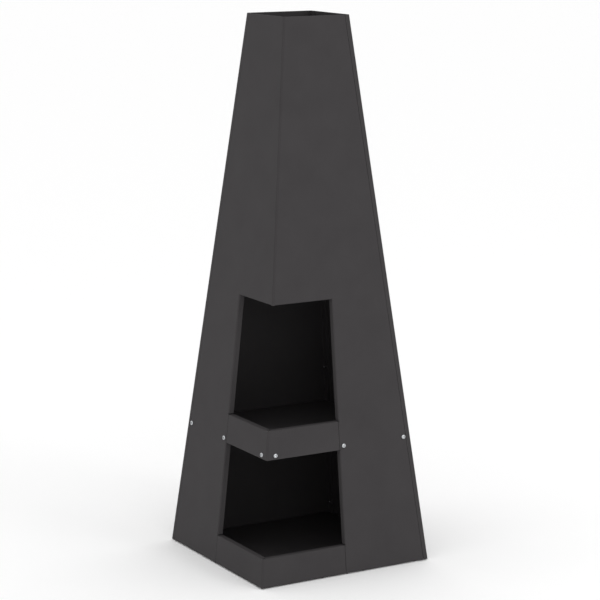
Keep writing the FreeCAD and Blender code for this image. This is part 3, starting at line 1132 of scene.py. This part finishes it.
class FastenerTree:
    """Geometry node tree that stands one fastener on every place, turned about its own axis."""

    def __init__(self) -> None:
        """Build the tree with its named inputs."""
        tree = bpy.data.node_groups.new("stand_fasteners", "GeometryNodeTree")
        self.tree = tree
        face = tree.interface
        for name, kind in (("Places", "NodeSocketGeometry"), ("Fastener", "NodeSocketObject"),
                           ("Turn Spread", "NodeSocketFloat"), ("Seed", "NodeSocketInt"),
                           ("Finish", "NodeSocketMaterial")):
            face.new_socket(name=name, in_out="INPUT", socket_type=kind)
        face.new_socket(name="Fasteners", in_out="OUTPUT", socket_type="NodeSocketGeometry")
        given = add_node(tree, "NodeGroupInput").outputs
        shape = add_node(tree, "GeometryNodeObjectInfo", {"Object": given["Fastener"]})
        facing = add_node(tree, "GeometryNodeInputNamedAttribute", {"Name": "facing"},
                          data_type="FLOAT_VECTOR")
        side = add_node(tree, "GeometryNodeInputNamedAttribute", {"Name": "side"},
                        data_type="FLOAT_VECTOR")
        aimed = add_node(tree, "FunctionNodeAlignRotationToVector",
                         {"Vector": facing}, axis="Z")
        squared = add_node(tree, "FunctionNodeAlignRotationToVector",
                           {"Rotation": aimed, "Vector": side},
                           axis="X", pivot_axis="Z")
        least = add_node(tree, "ShaderNodeMath", {0: given["Turn Spread"], 1: -1.0}, operation="MULTIPLY")
        chance = add_node(tree, "FunctionNodeRandomValue",
                          {2: least, 3: given["Turn Spread"], "Seed": given["Seed"]},
                          data_type="FLOAT")
        turn = add_node(tree, "FunctionNodeAxisAngleToRotation",
                        {"Axis": (0.0, 0.0, 1.0), "Angle": chance})
        turned = add_node(tree, "FunctionNodeRotateRotation",
                          {"Rotation": squared, "Rotate By": turn},
                          rotation_space="LOCAL")
        stood = add_node(tree, "GeometryNodeInstanceOnPoints",
                         {"Points": given["Places"], "Instance": shape.outputs["Geometry"],
                          "Rotation": turned})
        real = add_node(tree, "GeometryNodeRealizeInstances", {"Geometry": stood})
        done = add_node(tree, "GeometryNodeSetMaterial",
                        {"Geometry": real, "Material": given["Finish"]})
        add_node(tree, "NodeGroupOutput", {"Fasteners": done})

    def socket(self, name: str) -> str:
        """Identifier of a named input."""
        return next(item.identifier for item in self.tree.interface.items_tree
                    if item.name == name and item.in_out == "INPUT")

    def stand(self, name: str, stand_on: Sequence[Place], shape: bpy.types.Mesh,
              finish: bpy.types.Material, spread: float, seed: int) -> bpy.types.Object:
        """Make one piece with a fastener on every place.

        Args:
            name: The piece's name.
            stand_on: Where the fasteners stand.
            shape: One fastener, its outermost face at z = 0.
            finish: Its material.
            spread: Most that a fastener is turned either way about its axis, in radians.
            seed: Seed of the turns.

        Returns:
            The piece as a plain mesh.
        """
        spots = bpy.data.meshes.new(name + "_places")
        spots.from_pydata([tuple(place.point) for place in stand_on], [], [])
        for key, pick in (("facing", lambda p: p.outward), ("side", lambda p: p.side)):
            values = spots.attributes.new(key, "FLOAT_VECTOR", "POINT")
            values.data.foreach_set("vector", [c for place in stand_on for c in pick(place)])
        carrier = add_object(name + "_carrier", spots)
        pattern = add_object(name + "_pattern", shape)
        modifier = carrier.modifiers.new("fasteners", "NODES")
        modifier.node_group = self.tree
        for key, value in (("Fastener", pattern), ("Turn Spread", spread), ("Seed", seed),
                           ("Finish", finish)):
            modifier[self.socket(key)] = value
        piece = applied(carrier, name)
        bpy.data.objects.remove(pattern)
        return piece


@dataclass
class Fasteners:
    """Every bolt, washer and nut, one piece for each CAD node."""

    taper: Taper
    finishes: Finishes
    tree: FastenerTree = field(default_factory=FastenerTree)
    free_turn: float = math.radians(30)

    def _group(self, node: str, kind: Kind, shape: bpy.types.Mesh, turned: bool, coated: bool,
               seed: int) -> None:
        """Stand one node's fasteners and tie them to the frame."""
        finish = self.finishes.coat if coated else self.finishes.zinc
        piece = self.tree.stand("turned_" + node, places(node, kind, self.taper), shape, finish,
                                self.free_turn if turned else 0.0, seed)
        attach(piece, "root")
        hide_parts(node)
        logger.info("%s: %d faces", piece.name, len(piece.data.polygons))

    def build(self) -> None:
        """Stand all the groups."""
        shelf_bolt = Bolt().mesh()
        nut, washer = Nut().mesh(), Washer().mesh()
        for seed, place in enumerate(("band", "side_panel", "corner_lap", "rear_shelf")):
            self._group(place + "_bolts", Kind.WALL, shelf_bolt, True, False, seed + 3)
            self._group(place + "_washers", Kind.WALL, washer, False, False, seed)
            self._group(place + "_nuts", Kind.WALL, nut, False, False, seed)
        small_bolt = Bolt(head=8.6 * MM, height=2.5 * MM, crown=4.6 * MM, socket=3 * MM,
                          socket_depth=1.7 * MM, thread=4.9 * MM, pitch=0.8 * MM, length=10 * MM)
        small_nut = Nut(flats=8 * MM, height=4 * MM, bore=5 * MM, skirt=0.8 * MM)
        self._group("back_seam_bolts", Kind.SEAM, small_bolt.mesh(), True, False, 11)
        self._group("back_seam_weld_nuts", Kind.SEAM, small_nut.mesh(), True, True, 12)
        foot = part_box("front_shell")[0].z
        low_bolt = Bolt(height=foot, crown=7.8 * MM, socket_depth=1.3 * MM, length=8 * MM).mesh()
        for seed, place in enumerate(("plinth_base", "side_base", "rear_base")):
            self._group(place + "_bolts", Kind.BASE, low_bolt, True, True, seed + 21)
        weld_nut = Nut(skirt=0.9 * MM).mesh()
        self._group("base_weld_nuts", Kind.BASE, weld_nut, True, True, 31)


# ---------------------------------------------------------------- studio

@dataclass
class Studio:
    """Pale floor, soft light from all round and the camera."""

    floor_side: float = 160.0
    floor_colour: str = "#fefefe"
    sky_colour: str = "#ffffff"
    sky_strength: float = 1.0
    azimuth: float = 30.08
    distance: float = 4.8698
    eye_level: float = 1.5209
    pan: float = 0.057
    pitch: float = 10.938
    lens: float = 132.74
    box_side: float = 1.2
    aim_level: float = 0.6

    def floor(self) -> None:
        """Lay the floor on the ground."""
        s = self.floor_side / 2
        mesh = bpy.data.meshes.new("studio_floor")
        mesh.from_pydata([(-s, -s, 0), (s, -s, 0), (s, s, 0), (-s, s, 0)], [], [(0, 1, 2, 3)])
        material = bpy.data.materials.new("pale_floor")
        material.use_nodes = True
        shader = material.node_tree.nodes["Principled BSDF"]
        shader.inputs["Base Color"].default_value = linear(self.floor_colour)
        shader.inputs["Roughness"].default_value = 0.9
        shader.inputs["Specular IOR Level"].default_value = 0.1
        mesh.materials.append(material)
        plane = add_object("studio_floor", mesh)

    def light(self) -> None:
        """Surround the object with even white light and add three large soft boxes."""
        world = bpy.data.worlds.new("studio")
        world.use_nodes = True
        sky = world.node_tree.nodes["Background"]
        sky.inputs["Color"].default_value = linear(self.sky_colour)
        sky.inputs["Strength"].default_value = self.sky_strength
        bpy.context.scene.world = world
        for name, place, power in (("right_box", (1.6, -3.9, 2.0), 23.0),
                                   ("front_box", (-1.4, -4.0, 1.8), 7.0),
                                   ("left_box", (-3.9, 1.6, 3.4), 2.0)):
            lamp = bpy.data.lights.new(name, "AREA")
            lamp.shape, lamp.size, lamp.energy = "SQUARE", self.box_side, power
            box = add_object(name, lamp)
            box.location = place
            aim = Vector((0, 0, self.aim_level)) - Vector(place)
            box.rotation_euler = aim.to_track_quat("-Z", "Y").to_euler()

    def camera(self) -> None:
        """Stand the camera in front of the open corner, a little above the object's middle."""
        lens = bpy.data.cameras.new("camera")
        lens.lens, lens.sensor_width = self.lens, 36.0
        lens.clip_start, lens.clip_end = 0.1, 400.0
        camera = add_object("camera", lens)
        turn = math.radians(self.azimuth)
        camera.location = (-self.distance * math.sin(turn), -self.distance * math.cos(turn),
                           self.eye_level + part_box("front_shell")[0].z)
        camera.rotation_euler = (math.radians(90 - self.pitch), 0,
                                 -math.radians(self.azimuth + self.pan))
        bpy.context.scene.camera = camera

    def build(self) -> None:
        """Set the studio, with colours shown as they are."""
        self.floor()
        self.light()
        self.camera()
        bpy.context.scene.view_settings.view_transform = "Standard"


# ---------------------------------------------------------------- whole


def main() -> None:
    """Build every sub-assembly in order."""
    logging.basicConfig(level=logging.INFO, format="%(name)s: %(message)s")
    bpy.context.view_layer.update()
    Studio().build()
    taper = Taper.from_frame()
    levels = Levels.from_frame()
    finishes = Finishes.build()
    shared = {"taper": taper, "levels": levels, "finishes": finishes}
    FrontShell(**shared).build()
    RearPanel(**shared).build()
    RearLeftPanel(**shared).build()
    CornerStrip(**shared).build()
    CornerStrip(**shared, node="plinth", has_foot=True).build()
    FireShelf(**shared).build()
    BasePlate(**shared).build()
    Fasteners(taper, finishes).build()


if __name__ == "__main__":
    main()
